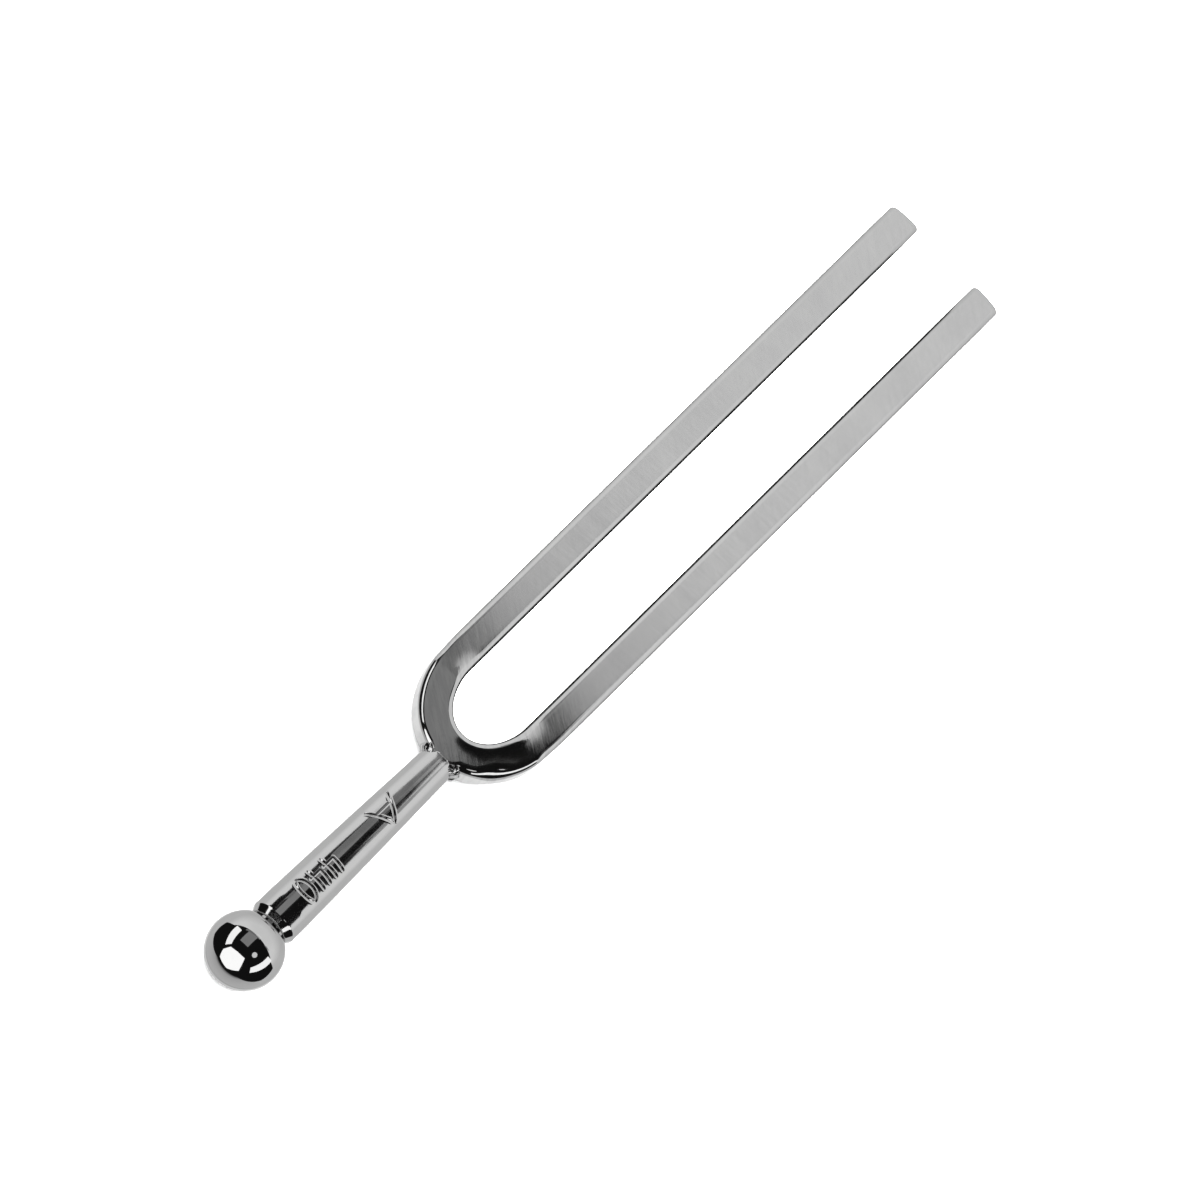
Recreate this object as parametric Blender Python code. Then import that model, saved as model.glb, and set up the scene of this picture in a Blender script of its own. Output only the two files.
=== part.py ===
"""Tuning fork for A = 440 Hz: a bent steel bar, a turned stem and a ball foot.

Frame: metres. +X runs along the fork from the ball to the prong tips, +Y runs across the two
prongs and +Z is the normal of the flat faces. The origin is the centre of the whole fork's box.
"""

import math

import bmesh
import bpy

# ---------------------------------------------------------------- driving dimensions, metres
TOTAL_LENGTH = 0.1199  # ball to prong tips; with PRONG_THICKNESS it sets the pitch
BALL_RADIUS = 0.0044

PRONG_THICKNESS = 0.0039  # in the plane of the fork, the way the prongs swing
PRONG_GAP = 0.0086
BAR_DEPTH = 0.0038  # across the flat faces
BAR_EDGE_RADIUS = 0.0008

BEND_START = 0.0411  # ball centre to where the prongs run straight
OUTER_BEND_DEPTH = 0.0099  # from there back to the outside of the bend
INNER_BEND_DEPTH = 0.0060  # and back to the bottom of the gap
OUTER_BEND_POWER = 2.0  # an ellipse
INNER_BEND_POWER = 1.75  # slightly pointed, as a bar bent over a small mandrel is

STEM_FOOT = 0.0046  # ball centre to where the cone at the stem's foot ends
STEM_FOOT_RADIUS = 0.00285
STEM_FOOT_CONE = 30.0  # degrees from the axis, down to a cup that seats the ball
STEM_TOP_RADIUS = 0.00212
STEM_RIM_RADIUS = 0.0003
STEM_PARALLEL = 0.0020  # length of the thick end before the taper starts
NECK_RADIUS = 0.00115
SPIGOT_RADIUS = 0.00105

NECK_INTO_BALL = 0.0024  # how far the neck goes in past the ball's surface
SPIGOT_INTO_BAR = 0.0016  # how far the spigot goes in past the bend's outside
DRILL_POINT = 0.0005  # depth of the cone that a drill leaves
FIT_GAP = 0.00015  # between any two pieces; small, because the joints are only 4 mm across

WELD_LEG_ON_STEM = 0.0008  # the fillet's reach back along the stem
WELD_LEG_ON_BEND = 0.0010  # and outwards along the bend
WELD_DEPTH = 0.0026  # across the flat faces
WELD_HOLLOW = 0.00012  # how far the fillet's face dips between its two legs
WELD_EDGE_RADIUS = 0.00012

# ---------------------------------------------------------------- worked out from those
BALL_X = -TOTAL_LENGTH / 2 + BALL_RADIUS
TIP_X = TOTAL_LENGTH / 2
BEND_START_X = BALL_X + BEND_START
BEND_OUTSIDE_X = BEND_START_X - OUTER_BEND_DEPTH
STEM_FOOT_X = BALL_X + STEM_FOOT
NECK_END = BALL_X + math.sqrt(BALL_RADIUS**2 - NECK_RADIUS**2) - NECK_INTO_BALL
STEM_TOP_X = BEND_OUTSIDE_X - FIT_GAP
INNER_HALF_WIDTH = PRONG_GAP / 2
OUTER_HALF_WIDTH = INNER_HALF_WIDTH + PRONG_THICKNESS

# ---------------------------------------------------------------- fineness
BEND_STEPS = 40
BEVEL_STEPS = 3
STEM_SIDES = 36
BALL_SIDES = 40
BALL_RINGS = 20
WELD_STEPS = 8

NICKEL = (0.50, 0.50, 0.498, 1.0)
SMOOTH_ANGLE = math.radians(35.0)


def clear_scene():
    for obj in list(bpy.data.objects):
        bpy.data.objects.remove(obj, do_unlink=True)


def metal(name, colour, roughness):
    material = bpy.data.materials.new(name)
    material.use_nodes = True
    shader = material.node_tree.nodes["Principled BSDF"]
    shader.inputs["Base Color"].default_value = colour
    shader.inputs["Metallic"].default_value = 1.0
    shader.inputs["Roughness"].default_value = roughness
    material.diffuse_color = colour
    return material


def add_object(name, bm, material=None):
    """A scene object from a bmesh, shaded smooth except over its sharp edges."""
    bmesh.ops.recalc_face_normals(bm, faces=bm.faces)
    mesh = bpy.data.meshes.new(name)
    bm.to_mesh(mesh)
    bm.free()
    mesh.shade_smooth()
    mesh.set_sharp_from_angle(angle=SMOOTH_ANGLE)
    if material:
        mesh.materials.append(material)
    obj = bpy.data.objects.new(name, mesh)
    bpy.context.scene.collection.objects.link(obj)
    return obj


def turned(profile, sides):
    """A bmesh of (x, radius) points spun about the X axis; the first and last lie on it."""
    bm = bmesh.new()
    points = [bm.verts.new((x, 0.0, radius)) for x, radius in profile]
    edges = [bm.edges.new(pair) for pair in zip(points, points[1:])]
    bmesh.ops.spin(
        bm,
        geom=points + edges,
        cent=(0, 0, 0),
        axis=(1, 0, 0),
        angle=math.tau,
        steps=sides,
        use_merge=True,
    )
    bmesh.ops.remove_doubles(bm, verts=bm.verts, dist=1e-7)
    return bm


def arc(centre_x, centre_r, radius, start, end, steps):
    """(x, radius) points on an arc; angles in degrees from +X towards outwards."""
    angles = [math.radians(start + (end - start) * i / steps) for i in range(steps + 1)]
    return [(centre_x + radius * math.cos(a), centre_r + radius * math.sin(a)) for a in angles]


def extruded(outline, depth):
    """A bmesh of a closed (x, y) outline standing depth high, half below and half above Z = 0."""
    bm = bmesh.new()
    bottom = bm.faces.new([bm.verts.new((x, y, -depth / 2)) for x, y in outline])
    raised = bmesh.ops.extrude_face_region(bm, geom=[bottom])["geom"]
    top = [v for v in raised if isinstance(v, bmesh.types.BMVert)]
    bmesh.ops.translate(bm, verts=top, vec=(0, 0, depth))
    return bm


def round_edges(obj, radius, segments, sharper_than):
    rounding = obj.modifiers.new("edge_rounding", "BEVEL")
    rounding.width = radius
    rounding.segments = segments
    rounding.limit_method = "ANGLE"
    rounding.angle_limit = math.radians(sharper_than)


def bend_curve(half_width, depth, power):
    """The bend's outline from +Y round to -Y, as points on a superellipse quarter and its mirror."""
    points = []
    for i in range(BEND_STEPS + 1):
        turn = math.pi * i / BEND_STEPS
        y = half_width * math.cos(turn)
        share = 1.0 - abs(y / half_width) ** power
        points.append((BEND_START_X - depth * math.sqrt(max(share, 0.0)), y))
    return points


def bend_outside_x(y):
    """Where the bend's outside wall is, that far from the axis."""
    return BEND_START_X - OUTER_BEND_DEPTH * math.sqrt(1.0 - (y / OUTER_HALF_WIDTH) ** 2)


def bar_outline():
    outer = bend_curve(OUTER_HALF_WIDTH, OUTER_BEND_DEPTH, OUTER_BEND_POWER)
    inner = bend_curve(INNER_HALF_WIDTH, INNER_BEND_DEPTH, INNER_BEND_POWER)
    outer_tips = [(TIP_X, OUTER_HALF_WIDTH), (TIP_X, -OUTER_HALF_WIDTH)]
    inner_tips = [(TIP_X, -INNER_HALF_WIDTH), (TIP_X, INNER_HALF_WIDTH)]
    return [outer_tips[0], *outer, outer_tips[1], inner_tips[0], *reversed(inner), inner_tips[1]]


def socket_drill():
    """The drill that cuts the blind socket for the stem's spigot."""
    radius = SPIGOT_RADIUS + FIT_GAP
    bottom = BEND_OUTSIDE_X + SPIGOT_INTO_BAR + FIT_GAP
    mouth = BEND_OUTSIDE_X - PRONG_THICKNESS
    profile = [(mouth, 0.0), (mouth, radius), (bottom, radius), (bottom + DRILL_POINT, 0.0)]
    drill = add_object("socket_drill", turned(profile, STEM_SIDES))
    drill.hide_render = True
    drill.display_type = "WIRE"
    return drill


def make_fork_bar(material):
    bar = add_object("fork_bar", extruded(bar_outline(), BAR_DEPTH), material)
    round_edges(bar, BAR_EDGE_RADIUS, BEVEL_STEPS, sharper_than=60.0)
    socket = bar.modifiers.new("stem_socket", "BOOLEAN")
    socket.operation = "DIFFERENCE"
    socket.solver = "EXACT"
    socket.object = socket_drill()
    return bar


def stem_foot_profile():
    """(x, radius) points of the stem's foot: a cup that seats the ball, a cone and its rim."""
    cup_radius = BALL_RADIUS + FIT_GAP
    cone = math.radians(STEM_FOOT_CONE)
    rim_start = STEM_FOOT_X + STEM_RIM_RADIUS * math.tan(cone / 2)
    rim = arc(rim_start, STEM_FOOT_RADIUS - STEM_RIM_RADIUS, STEM_RIM_RADIUS, 90 + STEM_FOOT_CONE, 90, 3)
    away, outwards = rim[0][0] - BALL_X, rim[0][1]
    along_cone = away * math.cos(cone) + outwards * math.sin(cone)
    beyond_cup = away**2 + outwards**2 - cup_radius**2
    length = along_cone - math.sqrt(along_cone**2 - beyond_cup)
    cup_edge = outwards - length * math.sin(cone)
    cup_limits = [math.degrees(math.asin(r / cup_radius)) for r in (NECK_RADIUS, cup_edge)]
    return [*arc(BALL_X, 0.0, cup_radius, *cup_limits, 5), *rim]


def make_stem(material):
    """The handle, turned in one piece with the neck at its foot and the spigot at its top."""
    profile = [
        (NECK_END, 0.0),
        (NECK_END, NECK_RADIUS),
        *stem_foot_profile(),
        (STEM_FOOT_X + STEM_PARALLEL, STEM_FOOT_RADIUS),
        (STEM_TOP_X, STEM_TOP_RADIUS),
        (STEM_TOP_X, SPIGOT_RADIUS),
        (BEND_OUTSIDE_X + SPIGOT_INTO_BAR, SPIGOT_RADIUS),
        (BEND_OUTSIDE_X + SPIGOT_INTO_BAR, 0.0),
    ]
    return add_object("stem", turned(profile, STEM_SIDES), material)


def make_ball(material):
    """The ball foot, with the blind hole that the neck fills."""
    hole_radius = NECK_RADIUS + FIT_GAP
    mouth_angle = math.degrees(math.asin(hole_radius / BALL_RADIUS))
    hole_end = NECK_END - FIT_GAP
    surface = arc(BALL_X, 0.0, BALL_RADIUS, 180, mouth_angle, BALL_RINGS)
    pole = (BALL_X - BALL_RADIUS, 0.0)
    profile = [pole, *surface[1:], (hole_end, hole_radius), (hole_end - DRILL_POINT, 0.0)]
    return add_object("ball", turned(profile, BALL_SIDES), material)


def weld_outline(side):
    """The fillet's corner shape: out along the bend, then straight back to the stem, dipping."""
    start_y = STEM_TOP_RADIUS + FIT_GAP
    on_bend = []
    for i in range(WELD_STEPS + 1):
        y = start_y + WELD_LEG_ON_BEND * i / WELD_STEPS
        on_bend.append((bend_outside_x(y) - FIT_GAP, y))
    corner_x = on_bend[0][0]
    far_x, far_y = on_bend[-1]
    near_x, near_y = corner_x - WELD_LEG_ON_STEM, start_y
    length = math.hypot(far_x - near_x, far_y - near_y)
    face = []
    for i in range(1, WELD_STEPS):
        share = i / WELD_STEPS
        dip = WELD_HOLLOW * math.sin(math.pi * share) / length
        x = far_x + (near_x - far_x) * share + dip * (far_y - near_y)
        y = far_y + (near_y - far_y) * share - dip * (far_x - near_x)
        face.append((x, y))
    return [(x, side * y) for x, y in [*on_bend, *face, (near_x, near_y)]]


def make_weld_bead(name, side, material):
    """The fillet weld between stem and bend; side is +1 on +Y and -1 on -Y."""
    bead = add_object(name, extruded(weld_outline(side), WELD_DEPTH), material)
    round_edges(bead, WELD_EDGE_RADIUS, 2, sharper_than=40.0)
    return bead


def main():
    clear_scene()
    make_fork_bar(metal("nickel_satin", NICKEL, 0.28))
    make_stem(metal("nickel_turned", NICKEL, 0.16))
    make_ball(metal("nickel_polished", NICKEL, 0.06))
    weld = metal("nickel_weld", NICKEL, 0.2)
    for name, side in (("weld_bead_left", 1), ("weld_bead_right", -1)):
        make_weld_bead(name, side, weld)


main()
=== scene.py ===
import math

import bmesh
import bpy
import numpy as np
from mathutils import Matrix, Vector


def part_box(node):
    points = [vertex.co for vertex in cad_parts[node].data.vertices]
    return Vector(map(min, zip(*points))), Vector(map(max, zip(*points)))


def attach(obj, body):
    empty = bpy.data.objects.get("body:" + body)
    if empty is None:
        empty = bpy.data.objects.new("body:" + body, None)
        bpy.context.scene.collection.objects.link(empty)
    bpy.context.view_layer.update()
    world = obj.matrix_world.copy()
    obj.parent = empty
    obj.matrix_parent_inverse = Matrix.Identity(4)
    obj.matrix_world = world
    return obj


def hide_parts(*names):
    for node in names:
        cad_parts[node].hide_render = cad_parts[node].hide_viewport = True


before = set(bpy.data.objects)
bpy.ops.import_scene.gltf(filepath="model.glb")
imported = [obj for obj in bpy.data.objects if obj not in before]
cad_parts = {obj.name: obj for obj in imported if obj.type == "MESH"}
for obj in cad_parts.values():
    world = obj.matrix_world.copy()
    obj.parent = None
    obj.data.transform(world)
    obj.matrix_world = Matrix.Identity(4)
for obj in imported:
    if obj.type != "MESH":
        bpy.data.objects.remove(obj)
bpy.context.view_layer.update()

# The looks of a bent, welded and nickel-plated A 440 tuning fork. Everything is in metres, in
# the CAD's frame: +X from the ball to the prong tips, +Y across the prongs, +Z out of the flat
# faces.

MM = 0.001

# ------------------------------------------------------------------ sizes, from the frame
BAR_LOW, BAR_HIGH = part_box("fork_bar")
BALL_LOW, BALL_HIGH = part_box("ball")
STEM_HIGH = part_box("stem")[1]

BALL_RADIUS = (BALL_HIGH.z - BALL_LOW.z) / 2
BALL_X = BALL_LOW.x + BALL_RADIUS
TIP_X = BAR_HIGH.x
BEND_OUTSIDE_X = BAR_LOW.x
OUTER_HALF_WIDTH = BAR_HIGH.y
HALF_DEPTH = BAR_HIGH.z
STEM_FOOT_RADIUS = STEM_HIGH.z

# ------------------------------------------------------------------ sizes inside those boxes
PRONG_THICKNESS = 3.9 * MM
BAR_EDGE_RADIUS = 0.8 * MM
OUTER_BEND_DEPTH = 9.9 * MM
INNER_BEND_DEPTH = 6.0 * MM
STEM_FOOT = 4.6 * MM  # from the ball's centre
STEM_FOOT_CONE = 30.0  # degrees from the axis
STEM_PARALLEL = 2.0 * MM
STEM_TOP_RADIUS = 2.12 * MM
STEM_RIM_RADIUS = 0.3 * MM
NECK_RADIUS = 1.15 * MM
CUP_GAP = 0.03 * MM  # a dark line between the ball and the stem
STEM_TAPER_BELLY = 0.04  # how full the taper's middle is, as a share of the taper
STEM_PAST_WALL = 0.2 * MM  # the stem's end is just fused into the bend's outside
STEM_END_ROUNDING = 0.05 * MM
NECK_FROM = 2.2 * MM  # from the ball's centre, inside the ball's hole
HOLE_GAP = 0.03 * MM
HOLE_LIP = 0.08 * MM
HOLE_DEPTH_SHOWN = 1.2 * MM

INNER_HALF_WIDTH = OUTER_HALF_WIDTH - PRONG_THICKNESS
BEND_START_X = BEND_OUTSIDE_X + OUTER_BEND_DEPTH
STEM_FOOT_X = BALL_X + STEM_FOOT

# ------------------------------------------------------------------ finish that only shows
TIP_ROUNDING = 0.35 * MM
TIP_SLANT = 0.25 * MM  # how far an end's outer corner is ground back
TIP_SLANT_LENGTH = 2.0 * MM
BULGE = 0.28 * MM  # bending swells the bar's inner side
BULGE_RUNOUT = 1.9 * MM  # past the bend's start
BULGE_LENGTH = 5.4 * MM
BULGE_POWERS = (8.0, 3.3)  # close to the inner side by the stem, and wider where the prongs start
BULGE_WIDENING = (-5.5 * MM, -2.0 * MM)  # from the bend's start
OUTER_EASE = 0.1 * MM  # the bend's outer side runs softly into the prongs
OUTER_EASE_BACK = 0.5 * MM  # from the bend's start
OUTER_EASE_LENGTH = 1.5 * MM
FLUSH_EDGE = 0.1 * MM  # the weld in front of the stem is ground flush with the flat faces
FLUSH_HALF_WIDTH = 0.9 * MM
FLUSH_RUNOUT = 1.3 * MM
FILED_ROUNDING = 0.7 * MM  # one part of the bend's outer edges is filed rounder than the rest
FILED_Y = -5.8 * MM
FILED_LENGTH = 1.2 * MM
FACE_WAVE = 0.003 * MM  # hand grinding leaves the flat faces very slightly uneven
FACE_WAVE_LONG = 4.1 * MM
FACE_WAVE_SHORT = 1.9 * MM
FACE_WAVE_RUN_IN = 5.0 * MM  # from the bend's start
STEM_ASIDE_AT_BALL = 0.13 * MM  # the stem is welded on slightly to one side and at a slight angle
STEM_ASIDE_AT_WELD = 0.28 * MM

WELD_ON_STEM = 0.75 * MM
WELD_ON_BEND = 0.6 * MM
WELD_CROWN = 0.12 * MM
WELD_ROOT = 0.3 * MM  # how far the weld metal goes in under the stem's surface
WELD_TOE_ON_STEM = 0.03 * MM  # the fillet's ends are just sunk into the two surfaces
WELD_TOE_ON_BEND = 0.08 * MM
WELD_INTO_BEND = 0.5 * MM
WELD_BELOW_FACES = 0.96  # of the bar's half depth
WELD_ENDS = (16.0, 164.0)  # degrees from +Z
WELD_FADE_FROM = 0.5 * MM  # from the stem's middle; nearer to it the weld is ground away
WELD_FADE_LENGTH = 1.3 * MM
WELD_LUMP = 0.08 * MM

STAMP_DEPTH = 0.085 * MM
STAMP_HALF_WIDTH = 0.19 * MM
STAMP_BURR = 0.009 * MM
STAMP_BURR_PLACE = 1.3  # from the stroke's middle, in half widths
STAMP_BURR_SPREAD = 0.4
STAMP_HEIGHT = 3.2 * MM
DIGIT_WIDTH = 1.65 * MM
DIGIT_GAP = 0.42 * MM
LETTER_WIDTH = 3.6 * MM
DIGITS_FROM = 13.85 * MM  # the +X side of the first digit, from the ball's centre
LETTER_FROM = 23.85 * MM

# ------------------------------------------------------------------ how finely the meshes are cut
CORNER_STEPS = 12
FACE_STEPS = 8
TIP_STEPS = 8
PRONG_STEPS = 150
BEND_STEPS = 180
BALL_STEPS = 90
BALL_SIDES = 128
WELD_STEPS = 90
WELD_FACE_STEPS = 14
STAMP_GRID = 0.045 * MM
STAMP_HALF_ANGLE = math.radians(46.0)
DIGITS_SPAN = (7.4 * MM, 14.6 * MM)  # from the ball's centre
LETTER_SPAN = (19.7 * MM, 24.4 * MM)
PLAIN_GRID = 0.3 * MM
PLAIN_STEPS = 59
LAST_GRID = 0.01 * MM  # keeps the stem's shading flat right up to its rounded end


# ================================================================== meshes
def new_object(name, bm):
    bmesh.ops.recalc_face_normals(bm, faces=bm.faces)
    mesh = bpy.data.meshes.new(name)
    bm.to_mesh(mesh)
    bm.free()
    mesh.shade_smooth()
    obj = bpy.data.objects.new(name, mesh)
    bpy.context.scene.collection.objects.link(obj)
    return obj


def skin(name, rows):
    """A closed tube through rows of points, each row a closed ring, capped at both ends."""
    bm = bmesh.new()
    rings = [[bm.verts.new(point) for point in row] for row in rows]
    count = len(rings[0])
    for lower, upper in zip(rings, rings[1:]):
        for i in range(count):
            j = (i + 1) % count
            bm.faces.new((lower[i], lower[j], upper[j], upper[i]))
    for ring, row in ((rings[0], rows[0]), (rings[-1], rows[-1])):
        point = bm.verts.new(np.mean(row, axis=0))
        for i in range(count):
            bm.faces.new((ring[i], ring[(i + 1) % count], point))
    return new_object(name, bm)


def arc(centre, radius, start, end, steps):
    """Points on an arc, angles in degrees from the first axis to the second."""
    angles = np.radians(np.linspace(start, end, steps + 1))
    return np.stack([centre[0] + radius * np.cos(angles), centre[1] + radius * np.sin(angles)], 1)


def smoothstep(value):
    t = np.clip(value, 0.0, 1.0)
    return t * t * (3.0 - 2.0 * t)


# ------------------------------------------------------------------ the bar
def rounded_ring(half_across, half_up, outer_radius, inner_radius):
    """(across, up) points round a rectangle with rounded corners."""
    corners = []
    for number, (side, rise) in enumerate(((1, 1), (-1, 1), (-1, -1), (1, -1))):
        radius = outer_radius if side > 0 else inner_radius
        centre = (side * (half_across - radius), rise * (half_up - radius))
        corners.append(arc(centre, radius, 90 * number, 90 * (number + 1), CORNER_STEPS))
    points = []
    for corner, following in zip(corners, corners[1:] + corners[:1]):
        points.append(corner)
        points.append(np.linspace(corner[-1], following[0], FACE_STEPS + 1)[1:-1])
    return np.concatenate(points)


def bend_points(turns, half_width, depth):
    """Points on half an ellipse, from the left prong round to the right one."""
    return np.stack([BEND_START_X - depth * np.sin(turns), half_width * np.cos(turns)], 1)


def prong_points(x, y):
    return np.stack([x, np.full(len(x), y)], 1)


def soften_outer_side(outer):
    """Takes a little off the outer side where the bend begins."""
    away = (outer[:, 0] - BEND_START_X + OUTER_EASE_BACK) / OUTER_EASE_LENGTH
    outer[:, 1] -= np.sign(outer[:, 1]) * OUTER_EASE * np.exp(-(away**2))


def bar_path():
    """Inner edge, outer edge and rounding inset of each section, from tip to tip."""
    quarter = np.radians(np.linspace(90, 0, TIP_STEPS + 1))
    tip_x = TIP_X - TIP_ROUNDING * (1 - np.sin(quarter))
    tip_inset = TIP_ROUNDING * (1 - np.cos(quarter))
    prong_x = np.linspace(tip_x[-1], BEND_START_X, PRONG_STEPS)[1:-1]
    straight = np.concatenate([tip_x, prong_x])
    inset = np.concatenate([tip_inset, np.zeros(len(prong_x))])
    turns = np.linspace(0.0, math.pi, BEND_STEPS + 1)
    parts = []
    for half_width, depth in (
        (INNER_HALF_WIDTH, INNER_BEND_DEPTH),
        (OUTER_HALF_WIDTH, OUTER_BEND_DEPTH),
    ):
        left = prong_points(straight, half_width)
        right = prong_points(straight[::-1], -half_width)
        parts.append(np.concatenate([left, bend_points(turns, half_width, depth), right]))
    soften_outer_side(parts[1])
    inset = np.concatenate([inset, np.zeros(len(turns)), inset[::-1]])
    return parts[0], parts[1], inset


def bulge(x, inwards):
    """How far the faces stand proud; inwards is 0 at the outer side and 1 at the inner side."""
    swell = smoothstep((BEND_START_X + BULGE_RUNOUT - x) / BULGE_LENGTH)
    widening_from, widening_to = BULGE_WIDENING
    widening = smoothstep((x - BEND_START_X - widening_from) / (widening_to - widening_from))
    power = BULGE_POWERS[0] + (BULGE_POWERS[1] - BULGE_POWERS[0]) * widening
    return BULGE * swell * np.clip(inwards, 0.0, 1.0) ** power


def bar_section(inner, outer, inset):
    """One ring of the bar's skin, as points in space."""
    width = float(np.linalg.norm(outer - inner))
    rounding = BAR_EDGE_RADIUS - inset / 2
    off_stem = smoothstep((abs(outer[1] + STEM_ASIDE_AT_WELD) - FLUSH_HALF_WIDTH) / FLUSH_RUNOUT)
    filed = math.exp(-(((outer[1] - FILED_Y) / FILED_LENGTH) ** 2))
    outer_rounding = FLUSH_EDGE + (rounding - FLUSH_EDGE) * off_stem + FILED_ROUNDING * filed
    ring = rounded_ring(width / 2 - inset, HALF_DEPTH - inset, outer_rounding, rounding)
    across, up = ring[:, 0], ring[:, 1]
    place = (inner + outer) / 2 + np.outer(across, (outer - inner) / width)
    up = up + np.sign(up) * bulge(place[:, 0], 0.5 - across / width)
    return np.column_stack([place, up])


def grind_bar(rows):
    """Slants the ends and leaves the flat faces slightly uneven."""
    x, y, z = rows[..., 0], rows[..., 1], rows[..., 2]
    outwards = np.clip((np.abs(y) - INNER_HALF_WIDTH) / PRONG_THICKNESS, 0, 1)
    near_tip = smoothstep((x - TIP_X + TIP_SLANT_LENGTH) / TIP_SLANT_LENGTH)
    wave = np.sin(x / FACE_WAVE_LONG + 1.3 * np.sign(y)) + 0.6 * np.sin(x / FACE_WAVE_SHORT)
    on_prong = smoothstep((x - BEND_START_X) / FACE_WAVE_RUN_IN)
    flat = smoothstep(np.abs(z) / HALF_DEPTH * 4 - 3) * on_prong
    rows[..., 2] = z + np.sign(z) * FACE_WAVE * wave * flat
    rows[..., 0] = x - TIP_SLANT * outwards**2 * near_tip
    return rows


def make_bar():
    inner, outer, inset = bar_path()
    rows = np.array([bar_section(*section) for section in zip(inner, outer, inset)])
    return skin("bent_bar", grind_bar(rows))


def set_aside(rows):
    """Moves the stem's points to where it was really welded on."""
    share = (rows[..., 0] - BALL_X) / (BEND_OUTSIDE_X - BALL_X)
    rows[..., 1] -= STEM_ASIDE_AT_BALL + (STEM_ASIDE_AT_WELD - STEM_ASIDE_AT_BALL) * share
    return rows


# ------------------------------------------------------------------ the stem and its stamp
# Strokes as (across, up) places, in shares of the character's width and height.
DIGIT_FOUR = [[(0.12, 0.88), (0.06, 0.34), (1.0, 0.34)], [(0.74, 0.08), (0.74, 0.88)]]
DIGIT_ZERO = [
    [(0.5 + 0.42 * math.cos(a), 0.5 + 0.5 * math.sin(a)) for a in np.linspace(0, math.tau, 25)]
]
LETTER_A = [[(0.0, 0.0), (0.5, 1.0), (1.0, 0.0)], [(0.18, 0.34), (0.82, 0.34)]]


def stamp_plan():
    """(strokes, width, the +X side's place) of each character; they read from +X towards -X."""
    digit_step = DIGIT_WIDTH + DIGIT_GAP
    digits_from = BALL_X + DIGITS_FROM
    plan = [(LETTER_A, LETTER_WIDTH, BALL_X + LETTER_FROM)]
    for number, strokes in enumerate((DIGIT_FOUR, DIGIT_FOUR, DIGIT_ZERO)):
        plan.append((strokes, DIGIT_WIDTH, digits_from - number * digit_step))
    return plan


def stroke_distance(x, s):
    """How far each point of the unrolled stem is from the nearest stroke; s runs towards +Y."""
    nearest = np.full(x.shape, 1.0)
    for strokes, width, side in stamp_plan():
        for stroke in strokes:
            corners = [(side - a * width, (0.5 - b) * STAMP_HEIGHT) for a, b in stroke]
            for (ax, ay), (bx, by) in zip(corners, corners[1:]):
                dx, dy = bx - ax, by - ay
                share = np.clip(((x - ax) * dx + (s - ay) * dy) / (dx * dx + dy * dy), 0, 1)
                distance = np.hypot(x - ax - share * dx, s - ay - share * dy)
                nearest = np.minimum(nearest, distance)
    return nearest


def stamp_relief(x, s):
    """Height of the stamped surface above the plain stem: grooves with a low raised lip."""
    d = stroke_distance(x, s) / STAMP_HALF_WIDTH
    burr = STAMP_BURR * np.exp(-(((d - STAMP_BURR_PLACE) / STAMP_BURR_SPREAD) ** 2))
    return burr - STAMP_DEPTH * smoothstep(1.0 - d)


def body_radius(x):
    """The handle's radius: parallel at the foot, then an even taper."""
    taper_from = STEM_FOOT_X + STEM_PARALLEL
    share = np.clip((x - taper_from) / (BEND_OUTSIDE_X - taper_from), 0, 1)
    eased = share - STEM_TAPER_BELLY * np.sin(math.pi * share)
    return STEM_FOOT_RADIUS + (STEM_TOP_RADIUS - STEM_FOOT_RADIUS) * eased


def stem_foot_profile():
    """(x, radius) points of the neck, the cup that seats the ball, the cone and its rim."""
    cup_radius = BALL_RADIUS + CUP_GAP
    cone = math.radians(STEM_FOOT_CONE)
    rim_x = STEM_FOOT_X + STEM_RIM_RADIUS * math.tan(cone / 2)
    rim_centre = (rim_x, STEM_FOOT_RADIUS - STEM_RIM_RADIUS)
    rim = arc(rim_centre, STEM_RIM_RADIUS, 90 + STEM_FOOT_CONE, 90, 8)
    from_centre = rim[0] - (BALL_X, 0.0)
    down_cone = np.array([-math.cos(cone), -math.sin(cone)])
    towards = -float(from_centre @ down_cone)
    length = towards - math.sqrt(towards**2 - float(from_centre @ from_centre) + cup_radius**2)
    face = np.linspace(rim[0] + down_cone * length, rim[0], 7)[1:-1]
    edge_angle = math.degrees(math.asin((rim[0][1] + down_cone[1] * length) / cup_radius))
    neck_angle = math.degrees(math.asin(NECK_RADIUS / cup_radius))
    cup = arc((BALL_X, 0.0), cup_radius, neck_angle, edge_angle, 8)
    neck = np.array([(BALL_X + NECK_FROM, NECK_RADIUS)])
    return np.concatenate([neck, cup, face, rim])


def stem_body_x():
    """Where the body's rings are: close together along the stamp and sparse elsewhere."""
    ends = [STEM_FOOT_X + STEM_RIM_RADIUS * math.tan(math.radians(STEM_FOOT_CONE / 2))]
    ends += [BALL_X + place for place in (*DIGITS_SPAN, *LETTER_SPAN)]
    ends.append(BEND_OUTSIDE_X + STEM_PAST_WALL - STEM_END_ROUNDING - LAST_GRID)
    spacings = (PLAIN_GRID, STAMP_GRID, PLAIN_GRID, STAMP_GRID, PLAIN_GRID)
    runs = []
    for low, high, spacing in zip(ends, ends[1:], spacings):
        runs.append(np.linspace(low, high, int((high - low) / spacing) + 2)[1:])
    runs.append([ends[-1] + LAST_GRID])
    return np.concatenate(runs)


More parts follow.
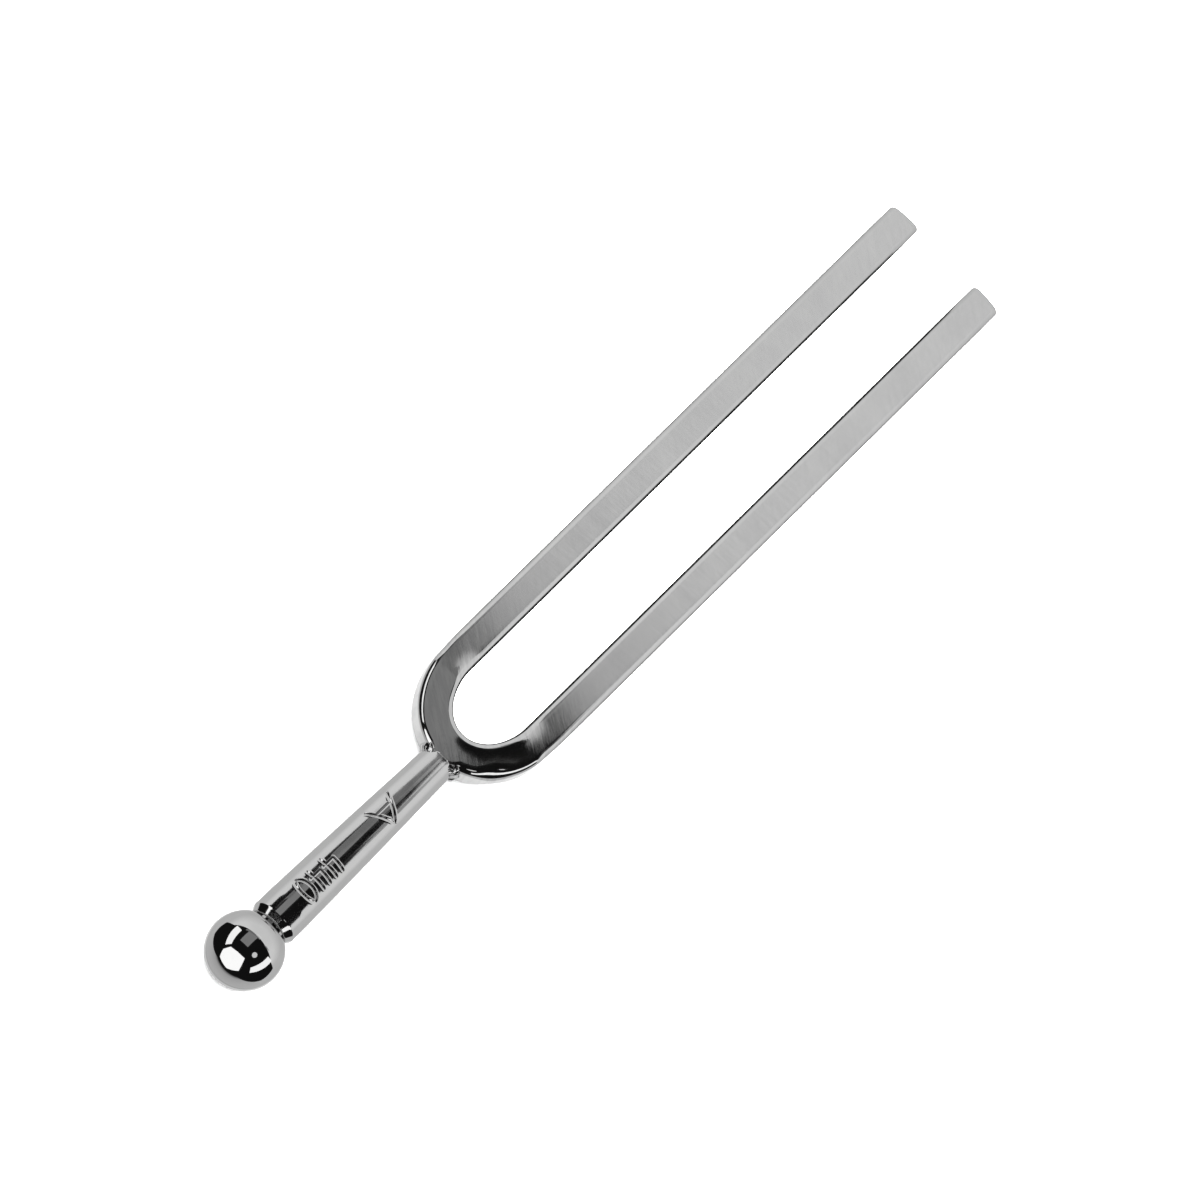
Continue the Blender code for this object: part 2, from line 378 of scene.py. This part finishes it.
def stem_end_profile(radius):
    centre = (BEND_OUTSIDE_X + STEM_PAST_WALL - STEM_END_ROUNDING, radius - STEM_END_ROUNDING)
    return arc(centre, STEM_END_ROUNDING, 90, 0, 5)[1:]


def stem_angles():
    """Angles from +Z towards +Y: close together over the stamp."""
    half = STAMP_HALF_ANGLE
    fine = np.arange(-half, half, STAMP_GRID / STEM_FOOT_RADIUS)
    coarse = np.linspace(half, math.tau - half, PLAIN_STEPS + 1)[:-1]
    return np.concatenate([fine, coarse])


def make_stem():
    foot = stem_foot_profile()
    x = stem_body_x()
    body = np.column_stack([x, body_radius(x)])
    profile_x, profile_r = np.concatenate([foot, body, stem_end_profile(body[-1, 1])]).T
    angles = stem_angles()
    signed = np.where(angles > math.pi, angles - math.tau, angles)
    xx = np.repeat(profile_x[:, None], len(angles), 1)
    rr = np.repeat(profile_r[:, None], len(angles), 1)
    rr = rr + stamp_relief(xx, rr * signed)
    rows = np.stack([xx, rr * np.sin(angles), rr * np.cos(angles)], 2)
    return skin("turned_stem", set_aside(rows))


# ------------------------------------------------------------------ the ball
def make_ball():
    """The drilled ball, with a small rounded lip where the neck goes in."""
    hole = NECK_RADIUS + HOLE_GAP
    mouth = math.degrees(math.asin((hole + HOLE_LIP) / BALL_RADIUS))
    surface = arc((BALL_X, 0.0), BALL_RADIUS, 179, mouth, BALL_STEPS)
    edge = surface[-1]
    rounding = arc((edge[0] - HOLE_LIP, hole + HOLE_LIP), HOLE_LIP, 0, -90, 4)[1:]
    bore = np.array([(edge[0] - HOLE_DEPTH_SHOWN, hole)])
    profile = np.concatenate([surface, rounding, bore])
    angles = np.linspace(0, math.tau, BALL_SIDES + 1)[:-1]
    rows = [[(x, r * math.sin(a), r * math.cos(a)) for a in angles] for x, r in profile]
    return skin("ball_foot", set_aside(np.array(rows)))


# ------------------------------------------------------------------ the welds
def bend_outside_x(y):
    return BEND_START_X - OUTER_BEND_DEPTH * np.sqrt(1.0 - (y / OUTER_HALF_WIDTH) ** 2)


def edge_recess(z):
    """How far the bar's wall is back at height z, because of its rounded edge."""
    over = np.clip(np.abs(z) - (HALF_DEPTH - BAR_EDGE_RADIUS), 0, BAR_EDGE_RADIUS * 0.98)
    return BAR_EDGE_RADIUS - math.sqrt(BAR_EDGE_RADIUS**2 - over**2)


def weld_section(angle, ripple, lump):
    """One closed section of the fillet, in the plane through the stem's axis at that angle."""
    room = WELD_BELOW_FACES * HALF_DEPTH / max(abs(math.cos(angle)), 0.01)
    reach = min(STEM_TOP_RADIUS + WELD_ON_BEND * ripple, room)
    recess = edge_recess(reach * math.cos(angle))
    aside = STEM_TOP_RADIUS * math.sin(angle)
    fade = smoothstep((aside - WELD_FADE_FROM) / WELD_FADE_LENGTH)
    wall_x = bend_outside_x(aside)
    toe_x = bend_outside_x(reach * math.sin(angle)) + recess + WELD_TOE_ON_BEND
    on_wall = np.array([toe_x, reach])
    on_stem = np.array([wall_x - WELD_ON_STEM * ripple * fade, STEM_TOP_RADIUS - WELD_TOE_ON_STEM])
    chord = on_wall - on_stem
    outward = np.array([-chord[1], chord[0]]) / np.linalg.norm(chord)
    section = [np.array([wall_x + WELD_INTO_BEND, STEM_TOP_RADIUS - WELD_ROOT])]
    for t in np.linspace(0, 1, WELD_FACE_STEPS + 1):
        crown = fade * math.sin(math.pi * t) * (WELD_CROWN + lump * math.sin(5 * t))
        section.append(on_stem + chord * t + outward * crown)
    return [(x, r * math.sin(angle), r * math.cos(angle)) for x, r in section]


def make_weld(name, side, seed):
    """A fillet of weld metal wrapped round one side of the stem's end, with its ripples."""
    phases = np.random.default_rng(seed).uniform(0, math.tau, 4)
    rows = []
    for angle in np.radians(np.linspace(*WELD_ENDS, WELD_STEPS)):
        coarse = math.sin(11 * angle + phases[0])
        fine = math.sin(29 * angle + phases[1])
        lump = WELD_LUMP * math.sin(7 * angle + phases[2])
        rows.append(weld_section(angle, 1.0 + 0.10 * coarse + 0.05 * fine, lump))
    rows = np.array(rows)
    rows[..., 1] *= side
    return skin(name, set_aside(rows))


# ================================================================== materials
def node(tree, kind, **settings):
    made = tree.nodes.new(kind)
    for key, value in settings.items():
        setattr(made, key, value)
    return made


def fill(made, **values):
    """Sets a node's inputs; the underscores in a key stand for the spaces in the socket's name."""
    for key, value in values.items():
        made.inputs[key.replace("_", " ")].default_value = value
    return made


def new_material(name):
    material = bpy.data.materials.new(name)
    material.use_nodes = True
    tree = material.node_tree
    return material, tree, tree.nodes["Principled BSDF"]


def stretched_noise(tree, scale, detail=3.0, rotation=(0, 0, 0)):
    """Noise over the object's own coordinates, scale per turned axis in cycles per metre."""
    place = node(tree, "ShaderNodeTexCoord")
    mapping = node(tree, "ShaderNodeMapping", vector_type="TEXTURE")
    fill(mapping, Scale=[1 / cycles for cycles in scale], Rotation=rotation)
    noise = node(tree, "ShaderNodeTexNoise", noise_dimensions="3D")
    fill(noise, Scale=1.0, Detail=detail, Roughness=0.6)
    tree.links.new(place.outputs["Object"], mapping.inputs["Vector"])
    tree.links.new(mapping.outputs["Vector"], noise.inputs["Vector"])
    return noise.outputs["Fac"]


def ranged(tree, value, low, high, to_low, to_high):
    made = node(tree, "ShaderNodeMapRange")
    tree.links.new(value, made.inputs["Value"])
    fill(made, From_Min=low, From_Max=high, To_Min=to_low, To_Max=to_high)
    return made.outputs["Result"]


def math_node(tree, operation, *values):
    made = node(tree, "ShaderNodeMath", operation=operation)
    for socket, value in zip(made.inputs, values):
        if isinstance(value, (int, float)):
            socket.default_value = value
        else:
            tree.links.new(value, socket)
    return made.outputs[0]


def tinted(tree, value, dark, light):
    """A colour between two, by a 0 to 1 value."""
    mix = node(tree, "ShaderNodeMix", data_type="RGBA")
    tree.links.new(value, mix.inputs["Factor"])
    mix.inputs["A"].default_value = dark
    mix.inputs["B"].default_value = light
    return mix.outputs["Result"]


def bump(tree, shader, height, distance, under=None):
    """Relief this deep for a height of 0 to 1, over the relief under it if there is one."""
    made = node(tree, "ShaderNodeBump")
    fill(made, Strength=1.0, Distance=distance)
    tree.links.new(height, made.inputs["Height"])
    if under:
        tree.links.new(under, made.inputs["Normal"])
    tree.links.new(made.outputs["Normal"], shader.inputs["Normal"])
    return made.outputs["Normal"]


NICKEL_DARK = (0.475, 0.475, 0.475, 1.0)
NICKEL_LIGHT = (0.525, 0.525, 0.522, 1.0)
EDGE_TINT = (0.80, 0.80, 0.80, 1.0)
NOISE_RANGE = (0.3, 0.7)  # where most of a noise's values lie
GRINDING_RUN_IN = 19.0 * MM  # how far past the bend's start the prongs' grinding is full


def nickel(name, roughness, spread, blotch=600.0):
    """Nickel plate: metallic, with faint blotches in its colour and its gloss.

    Blotch is in cycles per metre.
    """
    material, tree, shader = new_material(name)
    fill(shader, Metallic=1.0, Specular_Tint=EDGE_TINT)
    cloud = stretched_noise(tree, (blotch, blotch, blotch))
    tree.links.new(tinted(tree, cloud, NICKEL_DARK, NICKEL_LIGHT), shader.inputs["Base Color"])
    gloss = ranged(tree, cloud, *NOISE_RANGE, roughness - spread, roughness + spread)
    tree.links.new(gloss, shader.inputs["Roughness"])
    return material, tree, shader, gloss


def flat_face_mask(tree):
    """1 where the normal is within 10 degrees of Z, fading to 0 at 20 degrees."""
    geometry = node(tree, "ShaderNodeNewGeometry")
    split = node(tree, "ShaderNodeSeparateXYZ")
    tree.links.new(geometry.outputs["Normal"], split.inputs["Vector"])
    levelness = math_node(tree, "ABSOLUTE", split.outputs["Z"])
    return ranged(tree, levelness, 0.94, 0.985, 0.0, 1.0)


def along(tree):
    """The place along the fork."""
    place = node(tree, "ShaderNodeTexCoord")
    split = node(tree, "ShaderNodeSeparateXYZ")
    tree.links.new(place.outputs["Object"], split.inputs["Vector"])
    return split.outputs["X"]


def mixed_value(tree, share, first, second):
    mix = node(tree, "ShaderNodeMix", data_type="FLOAT")
    for key, value in (("Factor", share), ("A", first), ("B", second)):
        tree.links.new(value, mix.inputs[key])
    return mix.outputs["Result"]


def bar_material():
    """Mirror bright and streaked at the bend, cross-ground and satin along the prongs' flat faces."""
    material, tree, shader, gloss = nickel("nickel_satin_bar", 0.06, 0.015)
    past_bend = ranged(tree, along(tree), BEND_START_X, BEND_START_X + GRINDING_RUN_IN, 0.0, 1.0)
    ground = math_node(tree, "MULTIPLY", past_bend, flat_face_mask(tree))
    hatch = stretched_noise(tree, (5200.0, 300.0, 300.0), rotation=(0, 0, 0.08))
    satin = ranged(tree, hatch, *NOISE_RANGE, 0.18, 0.24)
    tree.links.new(mixed_value(tree, ground, gloss, satin), shader.inputs["Roughness"])

    streaks = stretched_noise(tree, (2600.0, 330.0, 330.0), detail=4.0, rotation=(0, 0, -0.6))
    haze = stretched_noise(tree, (170.0, 170.0, 170.0), detail=4.0)
    bend_tone = ranged(tree, streaks, *NOISE_RANGE, -0.8, 1.8)
    face_tone = ranged(tree, haze, *NOISE_RANGE, 0.0, 1.0)
    unground = ranged(tree, past_bend, 0.0, 0.4, 1.0, 0.15)
    tone = mixed_value(tree, unground, face_tone, bend_tone)
    tree.links.new(tinted(tree, tone, NICKEL_DARK, NICKEL_LIGHT), shader.inputs["Base Color"])
    under = bump(tree, shader, math_node(tree, "MULTIPLY", streaks, unground), 0.002 * MM)
    bump(tree, shader, math_node(tree, "MULTIPLY", hatch, ground), 0.0008 * MM, under=under)
    return material


def stem_material():
    """Bright plate over fine turning lines."""
    material, tree, shader, _ = nickel("nickel_turned_stem", 0.07, 0.02)
    lines = stretched_noise(tree, (9000.0, 40.0, 40.0), detail=2.0)
    bump(tree, shader, lines, 0.0006 * MM)
    return material


def ball_material():
    """Polished plate with faint handling marks."""
    material, tree, shader, _ = nickel("nickel_polished_ball", 0.035, 0.01)
    marks = stretched_noise(tree, (900.0, 5000.0, 900.0), detail=2.0)
    bump(tree, shader, marks, 0.0004 * MM)
    return material


def weld_material():
    """Plate over weld metal, bright and lumpy."""
    material, tree, shader, _ = nickel("nickel_weld_metal", 0.1, 0.04, blotch=2500.0)
    lumps = stretched_noise(tree, (3500.0, 3500.0, 3500.0))
    bump(tree, shader, lumps, 0.03 * MM)
    return material


# ================================================================== the studio
def polygon(name, points):
    bm = bmesh.new()
    bm.faces.new([bm.verts.new(point) for point in points])
    mesh = bpy.data.meshes.new(name)
    bm.to_mesh(mesh)
    bm.free()
    obj = bpy.data.objects.new(name, mesh)
    bpy.context.scene.collection.objects.link(obj)
    return obj


def distance_from(tree, middle):
    place = node(tree, "ShaderNodeTexCoord")
    away = node(tree, "ShaderNodeVectorMath", operation="DISTANCE")
    tree.links.new(place.outputs["Object"], away.inputs[0])
    away.inputs[1].default_value = tuple(middle)
    return away.outputs["Value"]


def card(name, points, brightness, *fades):
    """A glowing card that only the metal sees.

    A fade is (axis, start, end, share at the start, share at the end), with Y as its distance from
    the middle and R as the distance from the card's own middle.
    """
    obj = polygon(name, points)
    material = bpy.data.materials.new(name)
    material.use_nodes = True
    tree = material.node_tree
    tree.nodes.clear()
    glow = node(tree, "ShaderNodeEmission")
    split = node(tree, "ShaderNodeSeparateXYZ")
    tree.links.new(node(tree, "ShaderNodeTexCoord").outputs["Object"], split.inputs["Vector"])
    strength = brightness
    for axis, *limits in fades:
        if axis == "Y":
            distance = math_node(tree, "ABSOLUTE", split.outputs["Y"])
        elif axis == "R":
            distance = distance_from(tree, np.mean(points, axis=0))
        else:
            distance = split.outputs[axis]
        strength = math_node(tree, "MULTIPLY", strength, ranged(tree, distance, *limits))
    if fades:
        tree.links.new(strength, glow.inputs["Strength"])
    else:
        fill(glow, Strength=brightness)
    output = node(tree, "ShaderNodeOutputMaterial")
    tree.links.new(glow.outputs["Emission"], output.inputs["Surface"])
    obj.data.materials.append(material)
    obj.visible_camera = False
    obj.visible_diffuse = False
    obj.visible_shadow = False


def from_ball(points):
    """Points given from the ball's centre, in the fork's frame."""
    return [(BALL_X + x, y, z) for x, y, z in points]


def disc(centre, radius, facing):
    """Points round a circle whose axis is the facing direction."""
    turn = Vector(facing).to_track_quat("Z", "Y")
    angles = np.linspace(0, math.tau, 33)[:-1]
    rim = [Vector((math.cos(a), math.sin(a), 0.0)) * radius for a in angles]
    return [tuple(Vector(centre) + turn @ point) for point in rim]


# The cards are placed in metres from the ball's centre.
WALL_DISTANCE = 0.150
WALL_TOP = 0.234
WALL_GABLE = 0.28  # how steeply the wall's top falls on the +Y side of its rounded ridge
WALL_RIDGE = 0.03
WALL_ARCH = 0.8  # on the -Y side it falls with the square of the distance from the middle
WALL_HALF_WIDTH = 0.45
UNDER_DEPTH = -0.10
UNDER_HALF_WIDTH = 0.20
PANEL_HEIGHT = 0.30
IN_FRONT = 0.001  # how far one card stands in front of another
SHADOW_START = -0.001  # from the bend's start
SHADOW_END = -0.001  # from the prongs' ends
SHADOW_UNDER = 0.0002  # how far the shadow beside a prong goes in under it
SHADOW_REACH = 0.006
SHADOW_RUN_IN = 0.008
SHADOW_BRIGHTNESS = 0.86


def upright(x, corners):
    """A card that stands across the fork."""
    return from_ball([(x, y, z) for y, z in corners])


def sideways(y, low_x, high_x, low, high):
    """A card that stands beside the fork."""
    return from_ball([(low_x, y, low), (high_x, y, low), (high_x, y, high), (low_x, y, high)])


def level(z, low_x, high_x, low_y, high_y):
    """A card that lies flat."""
    return from_ball([(low_x, low_y, z), (high_x, low_y, z), (high_x, high_y, z), (low_x, high_y, z)])


def wall_top(y):
    if y < 0:
        return WALL_TOP - WALL_ARCH * y**2
    return WALL_TOP + WALL_GABLE * (WALL_RIDGE - math.hypot(y, WALL_RIDGE))


def make_tent():
    """The pale sweep: a wall beyond the prong tips, with a dim crest and pole, and cards below."""
    wide, bottom = WALL_HALF_WIDTH, UNDER_DEPTH
    top = [(y, wall_top(y)) for y in np.linspace(wide, -wide, 37)]
    fades = (("Z", -0.04, 0.07, 0.80, 1.04), ("Y", 0.05, 0.16, 1.0, 1.08))
    card("wall_card", upright(WALL_DISTANCE, [(-wide, bottom), (wide, bottom), *top]), 1.0, *fades)
    pole = [(-0.135, 0.24), (-0.215, 0.18), (-0.20, 0.165), (-0.158, 0.18), (-0.138, 0.20)]
    in_front = WALL_DISTANCE - IN_FRONT
    card("wall_pole", upright(in_front, pole), 0.45)
    crest = [(-0.03, 0.19), (0.03, 0.19), (0.03, 0.241), (-0.03, 0.241)]
    card("wall_crest", upright(in_front, crest), 1.0, ("Z", 0.19, 0.241, 1.32, 0.6))
    near_edge = BALL_X - 0.34
    side = UNDER_HALF_WIDTH
    below = [(-0.34, -side), (-0.02, -side), (WALL_DISTANCE, -wide)]
    below += [(x, -y) for x, y in reversed(below)]
    soft_end = ("X", near_edge, near_edge + 0.14, 0.0, 1.0)
    dim_end = ("X", BALL_X - 0.20, BALL_X, 0.72, 1.0)
    card("under_card", from_ball([(x, y, bottom) for x, y in below]), 0.86, soft_end, dim_end)
    glow = from_ball(disc((0.033, 0, bottom + IN_FRONT), 0.078, (0, 0, 1)))
    ring = (("R", 0.030, 0.042, 0.62, 1.0), ("R", 0.050, 0.078, 1.0, 0.6))
    card("under_glow", glow, 1.4, *ring, ("X", BALL_X - 0.03, BALL_X + 0.02, 0.7, 1.0))


def make_lamp_cards():
    """Strips along both sides, a seven-sided box in front and a small lamp."""
    card("left_strip", sideways(0.35, -0.27, 0.14, 0.155, 0.34), 1.75)
    card("right_strip", sideways(-0.35, -0.27, 0.14, 0.07, 0.21), 1.75)
    box = [(0.0, -0.05), (0.20, -0.04), (0.32, 0.10), (0.33, 0.34)]
    box += [(0.10, 0.43), (-0.16, 0.44), (-0.17, 0.05)]
    card("front_box", upright(-0.35, box), 1.9)
    lamp = Vector((-0.074, -0.217, 0.387))
    card("small_lamp", from_ball(disc(lamp, 0.06, lamp)), 1.05)


def make_panels():
    """Dim grey cards overhead, with a dark opening over the -Y side."""
    height = PANEL_HEIGHT
    near = [(-0.053, 0.002), (0.12, 0.002), (0.155, -0.003), (0.165, -0.003)]
    near += [(0.165, 0.17), (-0.053, 0.17)]
    card("grey_panel", from_ball([(x, y, height) for x, y in near]), 0.34)
    far, edge = 0.1706, -0.045
    bent = [(0.165, 0.001), (far, 0.001), (far, edge), (0.22, edge), (0.22, 0.25), (0.165, 0.25)]
    card("grey_panel_far", from_ball([(x, y, height) for x, y in bent]), 0.25)


def make_shadow():
    """A dark card between the prongs, and a dim one along each, where they keep the light off."""
    low = -HALF_DEPTH
    from_x, to_x = BEND_START_X - BALL_X + SHADOW_START, TIP_X - BALL_X + SHADOW_END
    card("shadow_in_gap", level(low, from_x, to_x, -INNER_HALF_WIDTH, INNER_HALF_WIDTH), 0.0)
    near, far = OUTER_HALF_WIDTH - SHADOW_UNDER, OUTER_HALF_WIDTH + SHADOW_REACH
    full_x = BEND_START_X + SHADOW_RUN_IN
    fades = (("Y", near, far, 0.35, 1.0), ("X", BEND_START_X, TIP_X, 0.5, 0.8))
    soft_start = ("X", BEND_START_X, full_x, 2.0, 1.0)
    for name, side in (("shadow_left", 1), ("shadow_right", -1)):
        corners = [(from_x, far), (full_x - BALL_X, near), (to_x, near), (to_x, far)]
        points = from_ball([(x, side * y, low) for x, y in corners])
        card(name, points, SHADOW_BRIGHTNESS, *fades, soft_start)


def make_floor():
    """A pale floor that touches the ball and the prong tips. The metal sees the cards instead."""
    drop = BALL_RADIUS - HALF_DEPTH
    slope = drop / (TIP_X - BALL_X)
    reach = 3.0
    points = []
    for x, y in ((-reach, -reach), (reach, -reach), (reach, reach), (-reach, reach)):
        points.append((x, y, -BALL_RADIUS + slope * (x - BALL_X)))
    floor = polygon("floor", points)
    floor.visible_glossy = False
    material, _, shader = new_material("pale_floor")
    fill(shader, Roughness=1.0, Specular_IOR_Level=0.0, Base_Color=(0.9, 0.9, 0.9, 1.0))
    floor.data.materials.append(material)


def make_overhead_light():
    """The soft light over the floor."""
    data = bpy.data.lights.new("overhead_light", "AREA")
    data.shape = "SQUARE"
    data.size = 1.6
    data.energy = 130.0
    lamp = bpy.data.objects.new("overhead_light", data)
    lamp.location = (0.0, 0.0, 1.4)
    lamp.visible_camera = False
    lamp.visible_glossy = False
    bpy.context.scene.collection.objects.link(lamp)


def make_world():
    """Pale behind the floor, and dark to the metal, as a studio is behind its lamps."""
    world = bpy.data.worlds.new("studio")
    bpy.context.scene.world = world
    world.use_nodes = True
    tree = world.node_tree
    tree.nodes.clear()
    path = node(tree, "ShaderNodeLightPath")
    colour = tinted(tree, path.outputs["Is Camera Ray"], (0.01, 0.01, 0.01, 1), (1, 1, 1, 1))
    background = node(tree, "ShaderNodeBackground")
    output = node(tree, "ShaderNodeOutputWorld")
    tree.links.new(colour, background.inputs["Color"])
    tree.links.new(background.outputs["Background"], output.inputs["Surface"])


CAMERA_TILT = math.radians(23.5)  # from the flat faces' normal, towards the ball
CAMERA_TURN = math.radians(44.55)  # how far the fork's axis points up from the frame's horizontal
FRAME_WIDTH = 129.6 * MM  # at the fork
TARGET = Vector((2.74 * MM, -0.08 * MM, 0.0))  # the middle of the frame
LENS = 800.0  # both in millimetres; so long a lens shows hardly any perspective
SENSOR = 36.0


def make_camera():
    towards = Vector((-math.sin(CAMERA_TILT), 0, math.cos(CAMERA_TILT)))
    lengthwise = Vector((math.cos(CAMERA_TILT), 0, math.sin(CAMERA_TILT)))
    crosswise = Vector((0, 1, 0))
    right = lengthwise * math.cos(CAMERA_TURN) - crosswise * math.sin(CAMERA_TURN)
    up = lengthwise * math.sin(CAMERA_TURN) + crosswise * math.cos(CAMERA_TURN)
    data = bpy.data.cameras.new("camera")
    data.lens = LENS
    data.sensor_width = SENSOR
    distance = FRAME_WIDTH * LENS / SENSOR
    data.clip_start = distance / 100
    data.clip_end = distance * 4
    camera = bpy.data.objects.new("camera", data)
    turned = Matrix((right, up, towards)).transposed().to_4x4()
    camera.matrix_world = Matrix.Translation(TARGET + towards * distance) @ turned
    bpy.context.scene.collection.objects.link(camera)
    bpy.context.scene.camera = camera


# ================================================================== putting it together
def add_piece(obj, material, slot, *nodes):
    """Gives a piece its material, hangs it under the root and hides the CAD nodes it stands for."""
    obj.data.materials.append(material)
    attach(obj, "root")
    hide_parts(*nodes)


make_camera()
add_piece(make_bar(), bar_material(), "nickel_satin", "fork_bar")
add_piece(make_stem(), stem_material(), "nickel_turned", "stem")
add_piece(make_ball(), ball_material(), "nickel_polished", "ball")
weld_metal = weld_material()
for side_name, side, seed in (("left", 1, 3), ("right", -1, 8)):
    weld = make_weld(f"weld_fillet_{side_name}", side, seed)
    add_piece(weld, weld_metal, "nickel_weld", f"weld_bead_{side_name}")
make_tent()
make_lamp_cards()
make_panels()
make_shadow()
make_floor()
make_overhead_light()
make_world()
bpy.context.scene.view_settings.view_transform = "Standard"
